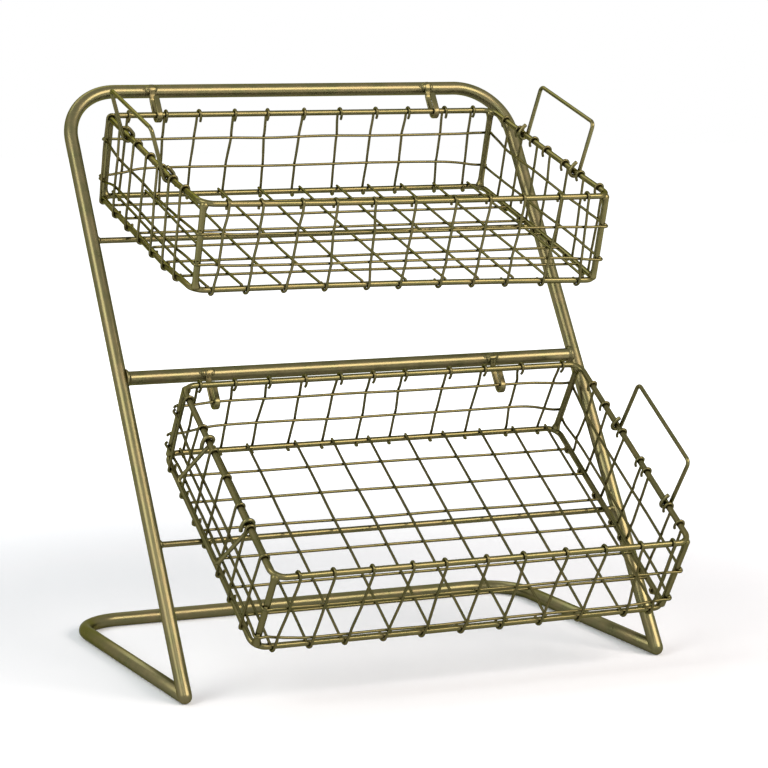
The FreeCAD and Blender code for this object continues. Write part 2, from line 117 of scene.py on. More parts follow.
# Sizes of the baskets
BASKET_HEIGHT = 77.5 * MM
BASKET_DEPTH = 243.0 * MM
RIM_RADIUS = 2.68 * MM
RIM_CORNER = 12.0 * MM
POST_RADIUS = 2.95 * MM
POST_INSET = 2.25 * MM
WIRE_RADIUS = 1.27 * MM
CORNERS = {"front_left": (-1, -1), "front_right": (1, -1), "rear_left": (-1, 1), "rear_right": (1, 1)}
WALL_ENDS = {
    "front": ("front_left", "front_right"),
    "rear": ("rear_left", "rear_right"),
    "left": ("rear_left", "front_left"),
    "right": ("rear_right", "front_right"),
}
# A post's end in its weld, in millimetres: below the rim's axis, thicker by, and further inside by
POST_WELD = (
    (0.0, 0.35, 1.0), (1.0, 0.95, 0.95), (2.1, 1.25, 0.85), (3.2, 1.0, 0.65),
    (4.4, 0.62, 0.45), (5.8, 0.30, 0.25), (7.6, 0.10, 0.1), (9.6, 0.0, 0.0),
)

# The real baskets aren't quite true. Their fronts are lifted, from this share of the depth on:
# the top rim by the first length, and by the second as well at its left end
BEND_START_SHARE = 0.70
TOP_BEND = {"upper": (1.2 * MM, 3.2 * MM), "lower": (0.0, 0.0)}
TOP_BEND_POWER = 4
# and the lower rim by the first length, and by the second as well at its right end
FOOT_BEND = {"upper": (3.7 * MM, -6.0 * MM), "lower": (-1.4 * MM, 1.4 * MM)}
FOOT_BEND_POWER = 2.2

# Uprights: the wrap over the top rim, drawn in steps of so many degrees, with the tail of its free end
WRAP = 3.86 * MM
WRAP_STEP = 20
WRAP_LEAN = 0.9 * MM
TAIL_LENGTH = (5.0 * MM, 6.2 * MM)
# The tail's end and middle: how much further along than the wrap, how far out from its inner side, how low
TAIL_PLACES = ((1.6, 1.1 * MM, 1.0), (1.3, 0.1 * MM, 0.55))
WRAP_FOOT = 3.2 * MM
# Where the straight part starts below the rim, and how much of the foot's shift and the rim's inset it has
STRAIGHT_START = 8.5 * MM
STRAIGHT_START_SHARE = 0.04
STRAIGHT_INSET_SHARE = 0.8
# The kinks where an upright crosses a runner
KINK = {"front": 1.3 * MM, "rear": 1.3 * MM, "left": 1.8 * MM, "right": 1.8 * MM}
KINK_BOW = 0.3 * MM
KINK_REACH = 3.0 * MM
KINK_SHOULDER_SHARE = 0.72
# The curl under the lower rim
FOOT_WRAP = 3.75 * MM
CURL_DROP = {"front": 4.4 * MM, "rear": 4.4 * MM, "left": 4.1 * MM, "right": 4.1 * MM}
CURL_SHIFT = (0.6 * MM, 1.8 * MM)
CURL_END_SHIFT = (0.9 * MM, 1.9 * MM)
CURL_START = 3.4 * MM
# The curl's first place: the share of its reach out, and its drop
CURL_SHOULDER = (0.99, 0.4 * MM)
# and its others: the shares of its side shift, of its reach out and of its drop
CURL_SHARES = ((0.25, 0.86, 0.5), (0.6, 0.48, 0.85), (0.9, 0.05, 1.0), (1.0, -0.42, 0.9), (1.0, -0.80, 0.6))
CURL_RISE = 0.9 * MM
CURL_TIP = 0.2 * MM
CURL_TIP_HEIGHT = (0.6 * MM, 2.0 * MM)
# The first upright of the upper basket's left wall grips the rim on its bend: its top and its foot
ON_THE_BEND = {("upper", "left"): (8.0 * MM, 10.0 * MM)}

# Runners: where they lie at the corner posts, in millimetres below the top rim
CORNER_DROPS = {
    "upper": {"rear_left": (22.2, 60.4), "front_left": (26.4, 53.8),
              "front_right": (27.6, 58.1), "rear_right": (23.0, 58.0)},
    "lower": {"rear_left": (28.6, 66.2), "front_left": (33.5, 64.5),
              "front_right": (33.3, 66.5), "rear_right": (28.0, 66.0)},
}
# How far a runner stands off the posts, besides the least gap, and the degrees it goes round them
CORNER_SLACK = {
    "rear_left": 0.9 * MM,
    "front_left": 0.3 * MM,
    "front_right": 0.6 * MM,
    "rear_right": 1.2 * MM,
}
RUNNER_GAP = 0.1 * MM
RUNNER_TURN = (62, 50, 38, 26, 13, 0)
RUNNER_OFFSET = 1.5 * MM
# Beyond a post the runner comes to its own level over this run, in millimetres
RUNNER_RUN = (6, 12, 20, 30, 42)
RUNNER_MIDDLE_SHARES = (0.3, 0.42, 0.55, 0.7)
RUNNER_WANDER_NEAR = 0.25 * MM
RUNNER_WANDER = 0.7 * MM
# How much of the way to the corner's level the runners of the rear walls go
REAR_SETTLE_SHARE = {"upper": 0.7, "lower": 0.4}
# The front wall of the lower basket has its second runner this much lower in the middle
SAG = {("lower", "front", 1): 5.0 * MM}
# The small weld of a runner: how far round the post, how far from its axis, how far above the wire, and
# its half sizes
SPOT_TURN = math.radians(30)
SPOT_REACH = POST_RADIUS + 0.5 * MM
SPOT_RISE = 1.3 * MM
SPOT_HALF = 1.7 * MM
SPOT_HALF_WIDTH = 1.9 * MM

# Wires of the basket's floor: how far they stray to the side, and in how many steps
FLOOR_WANDER = 0.5 * MM
FLOOR_STEPS = 5

# The handles' bails
HANDLE_RADIUS = 1.85 * MM
HANDLE_EYE = 4.65 * MM
HANDLE_SPAN = 106.0 * MM
HANDLE_REACH = 47.65 * MM
HANDLE_CORNER = 5.0 * MM
# How far each handle is turned outwards from upright, in degrees
HANDLE_SWING = {"upper_left": 19.6, "upper_right": 8.6, "lower_left": 151.0, "lower_right": 3.1}
# The eyes: their wire goes round the side rail, shifting along it by its lean, to a tail beside the bail
EYE_LEAN = 0.7 * MM
EYE_LEAN_TURN = 300
EYE_START = 150
EYE_STEP = 15
EYE_TAIL = (4.0 * MM, 8.6 * MM)
EYE_TAIL_MIDDLE = 5.8 * MM
EYE_TAIL_MIDDLE_SHARE = 0.55
EYE_TAIL_LEAN_SHARE = 0.8

# How finely things are drawn: flats round each section, angles of bends, and steps along curves
TUBE_SIDES = 40
ROD_SIDES = 20
RIM_SIDES = 20
POST_SIDES = 18
WIRE_SIDES = 10
HANDLE_SIDES = 16
TUBE_BEND_STEP = math.radians(4)
WIRE_BEND_STEP = math.radians(9)
BAR_POINTS = 24
FLARE_STEPS = 4
HOOK_BEND_STEPS = 24
STRAP_STEP = 0.8 * MM
UPRIGHT_STEP = 1.2 * MM
RUNNER_STEP = 1.8 * MM
FLOOR_STEP = 6.0 * MM
RIM_STEP = 8.0 * MM
# How far a wire's end bulges, as a share of its radius: a half ball, nearly flat, or between
HALF_BALL = 1.0
NEARLY_FLAT = 0.1
POST_BULGE = 0.3
HANDLE_BULGE = 0.4
WIRE_BULGE = 0.45


def eased(share):
    """A share from 0 to 1 that starts and ends gently."""
    return share * share * (3 - 2 * share)


def clamped(share):
    """The nearest share that isn't below 0 or above 1."""
    return min(1.0, max(0.0, share))


def wander(draw, reach):
    """A random value from -reach to reach."""
    return draw.uniform(-reach, reach)


# Round tube and wire as meshes
def rounded(points, radius, step):
    """The same chain of points with each inner corner replaced by an arc."""
    path = [points[0]]
    for before, corner, after in zip(points, points[1:], points[2:]):
        arrive = (corner - before).normalized()
        leave = (after - corner).normalized()
        turn = arrive.angle(leave)
        trim = radius * math.tan(turn / 2)
        inward = arrive.cross(leave).normalized().cross(arrive)
        centre = corner - arrive * trim + inward * radius
        count = max(2, math.ceil(turn / step))
        for i in range(count + 1):
            angle = turn * i / count
            path.append(centre - inward * (radius * math.cos(angle)) + arrive * (radius * math.sin(angle)))
    return path + [points[-1]]


def smooth(points, spacing):
    """A curve through all the points, with close and even steps."""
    least = 1e-6
    chain = [np.array(p, float) for p in points]
    count = len(chain)
    path = []
    for i in range(count - 1):
        b, c = chain[i], chain[i + 1]
        a = chain[i - 1] if i else 2 * b - c
        d = chain[i + 2] if i + 2 < count else 2 * c - b
        knots = [0.0]
        for p, q in ((a, b), (b, c), (c, d)):
            knots.append(knots[-1] + math.sqrt(max(np.linalg.norm(q - p), least)))
        steps = max(1, round(np.linalg.norm(c - b) / spacing))
        for j in range(steps):
            t = knots[1] + (knots[2] - knots[1]) * j / steps
            ab = a + (b - a) * ((t - knots[0]) / (knots[1] - knots[0]))
            bc = b + (c - b) * ((t - knots[1]) / (knots[2] - knots[1]))
            cd = c + (d - c) * ((t - knots[2]) / (knots[3] - knots[2]))
            abc = ab + (bc - ab) * ((t - knots[0]) / (knots[2] - knots[0]))
            bcd = bc + (cd - bc) * ((t - knots[1]) / (knots[3] - knots[1]))
            path.append(Vector(abc + (bcd - abc) * ((t - knots[1]) / (knots[2] - knots[1]))))
    return path + [Vector(chain[-1])]


def divided(points, spacing):
    """The same chain of points, with more of them on its long straight runs."""
    path = []
    for a, b in zip(points, points[1:]):
        count = max(1, math.ceil((b - a).length / spacing))
        path += [a.lerp(b, i / count) for i in range(count)]
    return path + [points[-1]]


class Shape:
    """Collects round wires, straps and lumps, and makes one mesh object of them."""

    # Degrees of the rings of a wire's dome and of a strap's tip, and steps round a strap's edge
    DOME = (25, 50, 70)
    TIP = (25, 50, 75)
    EDGE_STEPS = 4
    # The waves that make a lump uneven: how many, how close, where they start, and what their sum is
    # divided by
    WAVES = 5
    WAVE_COUNTS = (2, 5)
    WAVE_STARTS = (0, 6)
    WAVE_SUM = 3

    def __init__(self):
        self.points = []
        self.faces = []

    def ring(self, centre, across, aside, radius, sides):
        """Adds a circle of points, and returns the number of the first."""
        first = len(self.points)
        for i in range(sides):
            angle = 2 * math.pi * i / sides
            self.points.append(centre + (across * math.cos(angle) + aside * math.sin(angle)) * radius)
        return first

    def bridge(self, first, second, sides):
        """Joins two circles of points with faces."""
        for i in range(sides):
            j = (i + 1) % sides
            self.faces.append((first + i, first + j, second + j, second + i))

    def cap(self, ring, centre, along, across, aside, radius, sides, bulge, end):
        """Closes an end with a dome."""
        for degrees in self.DOME:
            angle = math.radians(degrees)
            place = centre + along * (radius * bulge * math.sin(angle))
            after = self.ring(place, across, aside, radius * math.cos(angle), sides)
            self.bridge(*((ring, after) if end else (after, ring)), sides)
            ring = after
        tip = len(self.points)
        self.points.append(centre + along * (radius * bulge))
        for i in range(sides):
            j = (i + 1) % sides
            self.faces.append((ring + i, ring + j, tip) if end else (ring + j, ring + i, tip))

    def wire(self, path, radius, sides, closed=False, bulge=WIRE_BULGE):
        """A round wire along the path. The radius is one number, or one for each point."""
        path = [Vector(p) for p in path]
        count = len(path)
        radii = radius if hasattr(radius, "__len__") else [radius] * count
        along = []
        for i in range(count):
            before = path[i - 1] if i or closed else path[i]
            after = path[(i + 1) % count] if i + 1 < count or closed else path[i]
            along.append((after - before).normalized())
        across = along[0].orthogonal().normalized()
        sections = []
        for i in range(count):
            if i:
                turn = along[i - 1].rotation_difference(along[i])
                across = turn @ across
            across = (across - along[i] * across.dot(along[i])).normalized()
            sections.append(across)
        twist = 0.0
        if closed:
            last = along[-1].rotation_difference(along[0]) @ sections[-1]
            twist = math.atan2(along[0].dot(last.cross(sections[0])), last.dot(sections[0]))
        rings = []
        for i in range(count):
            angle = twist * i / count
            aside = along[i].cross(sections[i])
            first = sections[i] * math.cos(angle) + aside * math.sin(angle)
            rings.append(self.ring(path[i], first, along[i].cross(first), radii[i], sides))
        for first, second in zip(rings, rings[1:]):
            self.bridge(first, second, sides)
        if closed:
            self.bridge(rings[-1], rings[0], sides)
            return
        for i, end in ((0, False), (count - 1, True)):
            aside = along[i].cross(sections[i])
            out = along[i] if end else -along[i]
            self.cap(rings[i], path[i], out, sections[i], aside, radii[i], sides, bulge, end)

    def strap(self, path, width, thickness, edge):
        """A flat strap with rounded edges and ends, along a path square to X."""
        outline = []
        for right, out, start in ((1, 1, 0), (-1, 1, 90), (-1, -1, 180), (1, -1, 270)):
            for step in range(self.EDGE_STEPS + 1):
                angle = math.radians(start + step * 90 / self.EDGE_STEPS)
                outline.append((right * (width / 2 - edge) + edge * math.cos(angle),
                                out * (thickness / 2 - edge) + edge * math.sin(angle)))
        last = len(path) - 1
        rings = [(path[0], path[1] - path[0], -1, degrees) for degrees in reversed(self.TIP)]
        for i, point in enumerate(path):
            rings.append((point, path[min(i + 1, last)] - path[max(i - 1, 0)], 0, 0))
        rings += [(path[-1], path[-1] - path[-2], 1, degrees) for degrees in self.TIP]
        first = len(self.points)
        for centre, along, end, degrees in rings:
            along = along.normalized()
            aside = along.cross(ACROSS)
            angle = math.radians(degrees)
            push = along * (end * edge * STRAP_TIP_SHARE * math.sin(angle))
            shrink = edge * (1 - math.cos(angle))
            for u, v in outline:
                u -= math.copysign(shrink * STRAP_TIP_SHARE, u)
                v -= math.copysign(shrink, v)
                self.points.append(centre + push + ACROSS * u + aside * v)
        count = len(outline)
        for i in range(len(rings) - 1):
            self.bridge(first + i * count, first + (i + 1) * count, count)
        self.faces.append(tuple(first + i for i in reversed(range(count))))
        self.faces.append(tuple(first + (len(rings) - 1) * count + i for i in range(count)))

    def lump(self, centre, axes, rough, seed, rings=9, sides=18):
        """A closed lump: a ball stretched along three axes, with a little unevenness."""
        draw = random.Random(seed)
        waves = []
        for _ in range(self.WAVES):
            facing = Vector([draw.gauss(0, 1) for _ in range(3)]).normalized()
            waves.append((facing, draw.uniform(*self.WAVE_COUNTS), draw.uniform(*self.WAVE_STARTS)))
        first = len(self.points)
        for i in range(rings + 1):
            polar = math.pi * i / rings
            for j in range(sides if 0 < i < rings else 1):
                turn = 2 * math.pi * j / sides
                ball = Vector((math.sin(polar) * math.cos(turn), math.sin(polar) * math.sin(turn),
                               math.cos(polar)))
                swell = sum(math.sin(ball.dot(facing) * count + start) for facing, count, start in waves)
                place = sum((axis * share for axis, share in zip(axes, ball)), Vector())
                self.points.append(centre + place * (1 + rough * swell / self.WAVE_SUM))
        body = first + 1
        for j in range(sides):
            k = (j + 1) % sides
            self.faces.append((first, body + j, body + k))
            for i in range(rings - 2):
                a, b = body + i * sides, body + (i + 1) * sides
                self.faces.append((a + j, b + j, b + k, a + k))
            low = body + (rings - 2) * sides
            self.faces.append((low + sides, low + k, low + j))

    def make(self, name, body, slot, material, *stands_for):
        """Makes the object, hangs it on its body, and hides the nodes it stands for."""
        mesh = bpy.data.meshes.new(name)
        mesh.from_pydata([tuple(p) for p in self.points], [], self.faces)
        mesh.polygons.foreach_set("use_smooth", [True] * len(mesh.polygons))
        mesh.update()
        piece = bpy.data.objects.new(name, mesh)
        bpy.context.scene.collection.objects.link(piece)
        piece.data.materials.append(material)
        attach(piece, body)
        if stands_for:
            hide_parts(*stands_for)
        return piece


# Shader nodes
def add_node(tree, kind, values=None):
    """A node of this kind, with values on some of its sockets."""
    node = tree.nodes.new(kind)
    for socket, value in (values or {}).items():
        node.inputs[socket].default_value = value
    return node


def ranged(tree, source, before, after, interpolation="LINEAR"):
    """The source's values, brought from one range to another."""
    spread = add_node(tree, "ShaderNodeMapRange", {"From Min": before[0], "From Max": before[1],
                                                   "To Min": after[0], "To Max": after[1]})
    spread.interpolation_type = interpolation
    tree.links.new(source, spread.inputs["Value"])
    return spread.outputs["Result"]


def combined(tree, operation, first, second, clamp=False):
    """What a sum or another operation makes of two values."""
    node = tree.nodes.new("ShaderNodeMath")
    node.operation = operation
    node.use_clamp = clamp
    tree.links.new(first, node.inputs[0])
    tree.links.new(second, node.inputs[1])
    return node.outputs[0]


def seen_directly(tree):
    """1 where the eye, a reflection or glass shows the surface, and 0 where it only lights others."""
    path = tree.nodes.new("ShaderNodeLightPath")
    seen = combined(tree, "ADD", path.outputs["Is Camera Ray"], path.outputs["Is Glossy Ray"], clamp=True)
    return combined(tree, "ADD", seen, path.outputs["Is Transmission Ray"], clamp=True)


# Metallic paint
EDGE_TINT = (0.47, 0.48, 0.34, 1.0)
CLOUDS = {"Scale": 55.0, "Detail": 5.0, "Roughness": 0.6}
CLOUD_EDGES = (0.36, 0.66)
NOISE_RANGE = (0.3, 0.7)
SPARKLE = (0.93, 1.07)
SMOOTHER = 0.05
DULLER = 0.07
GRAIN_DEPTH = 0.05 * MM


def metallic_paint(name, base, worn, roughness, grain, bump):
    """Satin paint of antique brass colour, mottled, with fine metal grain."""
    material = bpy.data.materials.new(name)
    material.use_nodes = True
    tree = material.node_tree
    paint = tree.nodes["Principled BSDF"]
    paint.inputs["Metallic"].default_value = 1.0
    paint.inputs["Specular Tint"].default_value = EDGE_TINT
    place = tree.nodes.new("ShaderNodeTexCoord")
    clouds = add_node(tree, "ShaderNodeTexNoise", CLOUDS)
    flakes = add_node(tree, "ShaderNodeTexNoise", {"Scale": grain, "Detail": 2.0})
    for texture in (clouds, flakes):
        tree.links.new(place.outputs["Object"], texture.inputs["Vector"])
    tones = tree.nodes.new("ShaderNodeValToRGB")
    for element, position, colour in zip(tones.color_ramp.elements, CLOUD_EDGES, (base, worn)):
        element.position = position
        element.color = (*colour, 1)
    tree.links.new(clouds.outputs["Fac"], tones.inputs["Fac"])
    colour = tree.nodes.new("ShaderNodeVectorMath")
    colour.operation = "SCALE"
    tree.links.new(tones.outputs["Color"], colour.inputs[0])
    tree.links.new(ranged(tree, flakes.outputs["Fac"], NOISE_RANGE, SPARKLE), colour.inputs["Scale"])
    tree.links.new(colour.outputs["Vector"], paint.inputs["Base Color"])
    gloss = ranged(tree, clouds.outputs["Fac"], NOISE_RANGE, (roughness - SMOOTHER, roughness + DULLER))
    tree.links.new(gloss, paint.inputs["Roughness"])
    relief = add_node(tree, "ShaderNodeBump", {"Strength": bump, "Distance": GRAIN_DEPTH})
    tree.links.new(flakes.outputs["Fac"], relief.inputs["Height"])
    tree.links.new(relief.outputs["Normal"], paint.inputs["Normal"])
    return material


tube_paint = metallic_paint("tube_paint", base=(0.120, 0.116, 0.054), worn=(0.152, 0.130, 0.066),
                            roughness=0.31, grain=1400.0, bump=0.07)
rod_paint = metallic_paint("rod_paint", base=(0.108, 0.103, 0.044), worn=(0.137, 0.117, 0.055),
                           roughness=0.29, grain=1700.0, bump=0.07)
# Rims and posts: the same paint, lighter than the wire paint as a painted highlight along the rims
rim_paint_with_painted_highlight = metallic_paint("rim_paint_with_painted_highlight", base=(0.103, 0.098, 0.040), worn=(0.133, 0.115, 0.050),
                           roughness=0.28, grain=1900.0, bump=0.07)
# Wires: the same paint as the rest, made darker as painted shade
wire_paint_with_painted_shade = metallic_paint("wire_paint_with_painted_shade", base=(0.082, 0.078, 0.032), worn=(0.114, 0.098, 0.042),
                            roughness=0.28, grain=2000.0, bump=0.05)
handle_paint = metallic_paint("handle_paint", base=(0.100, 0.097, 0.040), worn=(0.130, 0.113, 0.050),
                              roughness=0.28, grain=1800.0, bump=0.07)

# Directions of the leaning hoop, and places on it
up_leg = Vector((0, math.sin(LEG_LEAN), math.cos(LEG_LEAN)))
leg_front = Vector((0, -math.cos(LEG_LEAN), math.sin(LEG_LEAN)))
foot_level = Vector((0, -SETBACK, TUBE_RADIUS))


def on_hoop(height):
    """The point in the middle of the hoop's plane, at a height above the floor frame's axis."""
    return foot_level + up_leg * (height / math.cos(LEG_LEAN))


def leg_axis(side):
    """A point on a leg's axis at the foot, and the direction of the leg."""
    foot = foot_level + ACROSS * (side * LEG_SPAN / 2)
    return foot, up_leg * math.cos(LEG_TOE_IN) - ACROSS * (side * math.sin(LEG_TOE_IN))


def make_hoop():
    """Legs and top bar, with half balls at the feet."""
    left_foot, left_leg = leg_axis(-1)
    right_foot, right_leg = leg_axis(1)
    length = HOOP_HEIGHT / left_leg.z
    corners = [left_foot, left_foot + left_leg * length, right_foot + right_leg * length, right_foot]
    hoop = Shape()
    hoop.wire(rounded(corners, HOOP_CORNER, TUBE_BEND_STEP), TUBE_RADIUS, TUBE_SIDES, bulge=HALF_BALL)
    hoop.make("hoop_tube", "stand", "tube_finish", tube_paint, "leg_hoop")


def make_floor_frame():
    """The floor tube, whose ends run into the feet."""
    left_foot = leg_axis(-1)[0]
    right_foot = leg_axis(1)[0]
    back = Vector((0, BASE_DEPTH, 0))
    corners = [left_foot, left_foot + back, right_foot + back, right_foot]
    base = Shape()
    base.wire(rounded(corners, BASE_CORNER, TUBE_BEND_STEP), TUBE_RADIUS, TUBE_SIDES, bulge=NEARLY_FLAT)
    base.make("floor_tube", "stand", "tube_finish", tube_paint, "floor_base")


def cross_member(name, node, slot, material, height, radius, flare, sides):
    """A bar between the legs; at each end the weld flares out to meet the leg."""
    half = LEG_SPAN / 2 - math.sin(LEG_TOE_IN) * height - TUBE_RADIUS
    ends = [(half + BAR_SINK, radius + flare * FLARE_ROOT_SHARE)]
    for i in range(FLARE_STEPS + 1):
        share = i / FLARE_STEPS
        swell = (1 - math.sin(share * math.pi / 2)) ** FLARE_POWER
        ends.append((half - flare * FLARE_LENGTH_SHARE * share, radius + flare * swell))
    inner = np.linspace(-ends[-1][0], ends[-1][0], BAR_POINTS)[1:-1]
    run = [(-x, r) for x, r in ends] + [(x, radius) for x in inner] + [(x, r) for x, r in reversed(ends)]
    path = [on_hoop(height) + Vector((x, 0, 0)) for x, _ in run]
    bar = Shape()
    bar.wire(path, [r for _, r in run], sides, bulge=NEARLY_FLAT)
    bar.make(name, "stand", slot, material, node)


def make_cross_members():
    """The crossbar of tube, and both rest rods."""
    cross_member("crossbar_tube", "crossbar", "tube_finish", tube_paint, CROSSBAR_HEIGHT, TUBE_RADIUS,
                 TUBE_FLARE, TUBE_SIDES)
    for tier in ("upper", "lower"):
        cross_member(f"{tier}_rest_rod_round", f"{tier}_rest_rod", "rod_finish", rod_paint,
                     ROD_HEIGHTS[tier], ROD_RADIUS, ROD_FLARE, ROD_SIDES)


def hook_seat(tier, side):
    """The point on the axis of the tube that carries a hook."""
    return on_hoop(HOOK_HEIGHTS[tier]) + ACROSS * (side * HOOK_SPREAD / 2 + HOOK_SHIFT[tier])


def hook_path(tier, side):
    """The strap's line: from the front of the tube over its surface, down, round and up the lip."""
    seat = hook_seat(tier, side)
    skin = TUBE_RADIUS + STRAP_THICKNESS / 2 - STRAP_SINK

    def place(front, up):
        return seat + leg_front * front + up_leg * up

    bend = []
    for degrees in HOOK_GRIP:
        angle = math.radians(degrees)
        bend.append(place(skin * math.cos(angle), skin * math.sin(angle)))
    bend += [place(HOOK_SETOFF + front, up) for front, up in HOOK_LEAVES]
    path = smooth(bend, STRAP_STEP)
    drop = HOOK_DROP[tier]
    centre = HOOK_SETOFF + HOOK_BEND
    path.append(place(HOOK_SETOFF, (HOOK_LEAVES[-1][1] - drop) / 2))
    for i in range(HOOK_BEND_STEPS + 1):
        angle = math.pi * i / HOOK_BEND_STEPS
        path.append(place(centre - HOOK_BEND * math.cos(angle), -drop - HOOK_BEND * math.sin(angle)))
    path.append(place(centre + HOOK_BEND, -drop + HOOK_LIP - STRAP_EDGE * STRAP_TIP_SHARE))
    return path


def make_hook(tier, name, side):
    """A J hook of flat strap, with its weld on the front of the tube that carries it."""
    label = f"{tier}_{name}_hook"
    hook = Shape()
    hook.strap(hook_path(tier, side), STRAP_WIDTH, STRAP_THICKNESS, STRAP_EDGE)
    hook.make(f"{label}_strap", "stand", "rod_finish", rod_paint, label)
    weld = Shape()
    draw = random.Random(label)
    for shift, rise, wide, high, deep in HOOK_WELD:
        angle = math.radians(rise + wander(draw, HOOK_WELD_TURN))
        facing = leg_front * math.cos(angle) + up_leg * math.sin(angle)
        centre = hook_seat(tier, side) + ACROSS * (shift * MM) + facing * (TUBE_RADIUS - HOOK_WELD_SINK)
        axes = (ACROSS * wide * MM, facing.cross(ACROSS) * high * MM, facing * deep * MM)
        weld.lump(centre, axes, rough=0.14, seed=f"{label} {shift}")
    weld.make(f"{label}_weld", "stand", "rod_finish", rod_paint)


class Basket:
    """Places in a tipped basket: x across, back from front to rear, up square to the rims."""

    # How far the flats of the frame's rims lie from the axis, as a share of the radius
    RIM_FLAT_SHARE = math.cos(math.pi / 12)

    def __init__(self, tier):
        left = joints[f"{tier}_left_handle_swing"]
        right = joints[f"{tier}_right_handle_swing"]
        self.tier = tier
        self.body = f"{tier}_basket"
        self.back = Vector(right["axis"])
        self.up = ACROSS.cross(self.back)
        self.width = right["pos_m"][0] - left["pos_m"][0]
        middle = (right["pos_m"][0] + left["pos_m"][0]) / 2
        rim = nodes[f"{tier}_basket_top_rim"].data.vertices
        rail = max(v.co.dot(self.back) for v in rim) - RIM_RADIUS * self.RIM_FLAT_SHARE
        level = Vector(right["pos_m"]).dot(self.up)
        self.origin = Vector((middle, 0, 0)) + self.back * rail + self.up * level

    def bent(self, x, y, z):
        """How far a place is lifted, since the real basket isn't quite true."""
        near = clamped((-y / BASKET_DEPTH - BEND_START_SHARE) / (1 - BEND_START_SHARE))
        across = clamped(x / self.width + 0.5)
        low = clamped(-z / BASKET_HEIGHT)
        top, left_end = TOP_BEND[self.tier]
        foot, right_end = FOOT_BEND[self.tier]
        top += left_end * (1 - across) ** TOP_BEND_POWER
        foot += right_end * across ** FOOT_BEND_POWER
        return eased(near) * (top * (1 - low) + foot * low)

    def at(self, x, y, z):
        """The point at a place in the basket."""
        return self.origin + Vector((x, 0, 0)) + self.back * y + self.up * (z + self.bent(x, y, z))

    def inside(self, point):
        """The basket's own coordinates of a point."""
        offset = Vector(point) - self.origin
        return offset.x, offset.dot(self.back), offset.dot(self.up)

    def walls(self):
        """Each wall's starting corner, direction, way out and length."""
        half = self.width / 2
        return {
            "front": ((-half, -BASKET_DEPTH), (1, 0), (0, -1), self.width),
            "rear": ((-half, 0), (1, 0), (0, 1), self.width),
            "left": ((-half, 0), (0, -1), (-1, 0), BASKET_DEPTH),
            "right": ((half, 0), (0, -1), (1, 0), BASKET_DEPTH),
        }


def loose_wires(node):
    """The separate wires of a node of the frame, each as its points."""
    mesh = nodes[node].data
    group = list(range(len(mesh.vertices)))

    def root(i):
        while group[i] != i:
            group[i] = group[group[i]]
            i = group[i]
        return i

    for edge in mesh.edges:
        a, b = (root(i) for i in edge.vertices)
        group[a] = b
    seat = {}
    for vertex in mesh.vertices:
        key = tuple(round(c, 6) for c in vertex.co)
        if key in seat:
            group[root(vertex.index)] = root(seat[key])
        seat[key] = vertex.index
    wires = {}
    for vertex in mesh.vertices:
        wires.setdefault(root(vertex.index), []).append(vertex.co)
    return list(wires.values())


def sort_wires(basket, wall, node):
    """Where the uprights of a wall stand at the top and the foot, and how low its runners lie."""
    start, along, _, _ = basket.walls()[wall]

    def place(x, y):
        return (x - start[0]) * along[0] + (y - start[1]) * along[1]

    uprights, runners = [], []
    for wire in loose_wires(node):
        local = [basket.inside(point) for point in wire]
        heights = [z for _, _, z in local]
        if max(heights) - min(heights) < BASKET_HEIGHT / 2:
            runners.append((max(heights) + min(heights)) / 2)
            continue
        top = [place(x, y) for x, y, z in local if z > -BASKET_HEIGHT / 4]
        foot = [place(x, y) for x, y, z in local if z < -BASKET_HEIGHT * 3 / 4]
        uprights.append((sum(top) / len(top), sum(foot) / len(foot)))
    return sorted(uprights), sorted(runners, reverse=True)


def rim_inset(place, length):
    """How far the rim's axis lies inside a wall's line, where the rim bends."""
    near = RIM_CORNER - min(place, length - place)
    return RIM_CORNER - math.sqrt(RIM_CORNER ** 2 - near ** 2) if near > 0 else 0.0


def upright_path(top, foot, runners, length, wall, draw):
    """A wire over the top rim, down the outside and round under the lower rim: along, out, height."""
    lean = wander(draw, WRAP_LEAN)
    tail = draw.uniform(*TAIL_LENGTH)
    inset = rim_inset(top, length)
    path = [(top + lean * further, -WRAP + out - inset, -tail * low) for further, out, low in TAIL_PLACES]
    for degrees in range(180, -1, -WRAP_STEP):
        angle = math.radians(degrees)
        path.append((top + lean * degrees / 180, WRAP * math.cos(angle) - inset, WRAP * math.sin(angle)))
    path.append((top, WRAP - inset, -WRAP_FOOT))
    path.append((top + (foot - top) * STRAIGHT_START_SHARE, WRAP - inset * STRAIGHT_INSET_SHARE,
                 -STRAIGHT_START))
    for level in runners:
        middle = top + (foot - top) * (-level / BASKET_HEIGHT)
        kink = wander(draw, KINK[wall])
        bow = wander(draw, KINK_BOW)
        path += [(middle + kink * KINK_SHOULDER_SHARE, WRAP, level + KINK_REACH),
                 (middle + kink, WRAP + bow, level),
                 (middle + kink * KINK_SHOULDER_SHARE, WRAP, level - KINK_REACH)]
    return path + foot_curl(foot, rim_inset(foot, length), CURL_DROP[wall], draw)


def foot_curl(foot, inset, deep, draw):
    """The foot of an upright, which goes round under the lower rim and ends inside it."""
    base = -BASKET_HEIGHT
    tip = draw.uniform(*CURL_SHIFT)
    end = tip + draw.uniform(*CURL_END_SHIFT)
    out, down = CURL_SHOULDER
    path = [(foot, FOOT_WRAP - inset, base + CURL_START), (foot, FOOT_WRAP * out - inset, base - down)]
    for shift, out, down in CURL_SHARES:
        path.append((foot - tip * shift, FOOT_WRAP * out - inset, base - deep * down))
    path.append((foot - end, -FOOT_WRAP - inset, base - CURL_RISE))
    path.append((foot - end, -FOOT_WRAP + CURL_TIP - inset, base + draw.uniform(*CURL_TIP_HEIGHT)))
    return path


